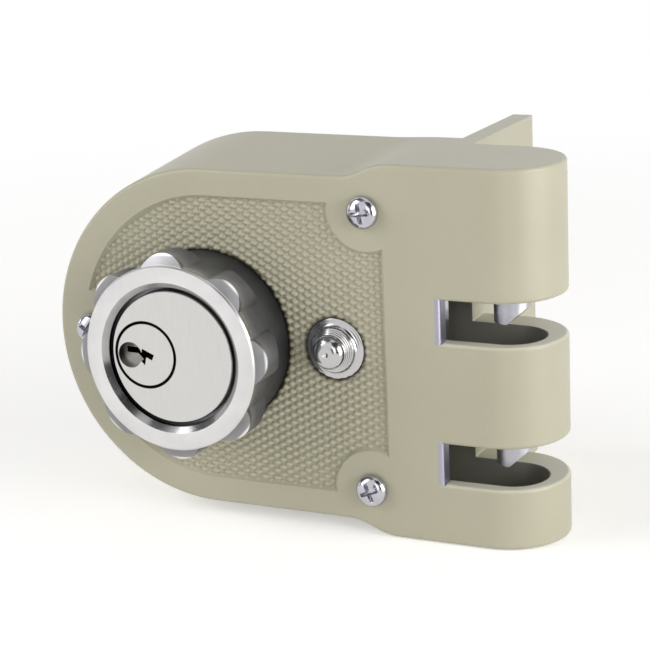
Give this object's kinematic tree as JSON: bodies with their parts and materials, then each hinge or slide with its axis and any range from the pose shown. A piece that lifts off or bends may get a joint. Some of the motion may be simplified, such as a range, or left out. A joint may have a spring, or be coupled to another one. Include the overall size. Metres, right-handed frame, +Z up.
{
  "type": "rim lock",
  "caption": "Surface mounted rim lock with a round turn knob holding a key cylinder, a stop button and round bolt pins that drop into slots between interlocking fingers.",
  "frame": {"origin": "on the turn knob's axis, in the plane of the door face that the case is screwed to", "axes": "+X towards the door edge, +Y into the door, +Z up"},
  "size_m": [0.1169, 0.0795, 0.0808],
  "materials": {
    "case_paint": "metallic champagne paint, slightly coarse",
    "satin_nickel": "satin nickel plate, brushed round the axis",
    "cylinder_nickel": "dull nickel plate",
    "bright_chrome": "polished chrome",
    "zinc_steel": "zinc plated steel, satin",
    "spring_steel": "bare spring steel",
    "brass": "machined brass"
  },
  "bodies": {
    "case_body": {"case": "case_paint", "back_plate": "zinc_steel", "case_screws": "zinc_steel", "bearing_washer": "brass", "guide_stud": "zinc_steel", "detent_spring": "spring_steel", "button_bushing": "bright_chrome", "bushing_nut": "zinc_steel", "button_spring": "spring_steel"},
    "knob_body": {"turn_knob": "satin_nickel", "knob_retaining_ring": "spring_steel", "cylinder_shell": "cylinder_nickel", "driver_pins": "brass", "pin_springs": "spring_steel", "chamber_caps": "brass", "cylinder_set_screw": "zinc_steel", "drive_cam": "zinc_steel", "cam_screws": "zinc_steel", "crank_pin": "zinc_steel"},
    "plug_body": {"cylinder_plug": "cylinder_nickel", "plug_retainer": "spring_steel", "plug_cam": "brass", "key_pins": "brass"},
    "bolt_body": {"slide_carrier": "zinc_steel", "drive_arm": "zinc_steel", "slide_rivets": "zinc_steel", "bolt_pin_upper": "zinc_steel", "bolt_pin_lower": "zinc_steel"},
    "button_body": {"stop_button": "bright_chrome", "button_clip": "spring_steel"}
  },
  "joints": [
    {"name": "knob_turn", "type": "hinge", "parent": "case_body", "child": "knob_body", "pos_m": [0, 0, 0], "axis": [0, 1, 0], "range_deg": [-45, 45]},
    {"name": "bolt_throw", "type": "slide", "parent": "case_body", "child": "bolt_body", "axis": [0, 0, -1], "range_m": [-0.0075, 0.0075]},
    {"name": "plug_turn", "type": "hinge", "parent": "knob_body", "child": "plug_body", "pos_m": [-0.00626, 0, 0], "axis": [0, 1, 0], "range_deg": [0, 90]},
    {"name": "stop_press", "type": "slide", "parent": "case_body", "child": "button_body", "axis": [0, 1, 0], "range_m": [0, 0.003], "stiffness_N_per_m": 400, "springref_m": -0.002, "deforming": ["button_spring"]}
  ],
  "couplings": [
    {"joint": "bolt_throw", "follows": "knob_turn", "m_per_rad": 0.0095493}
  ]
}
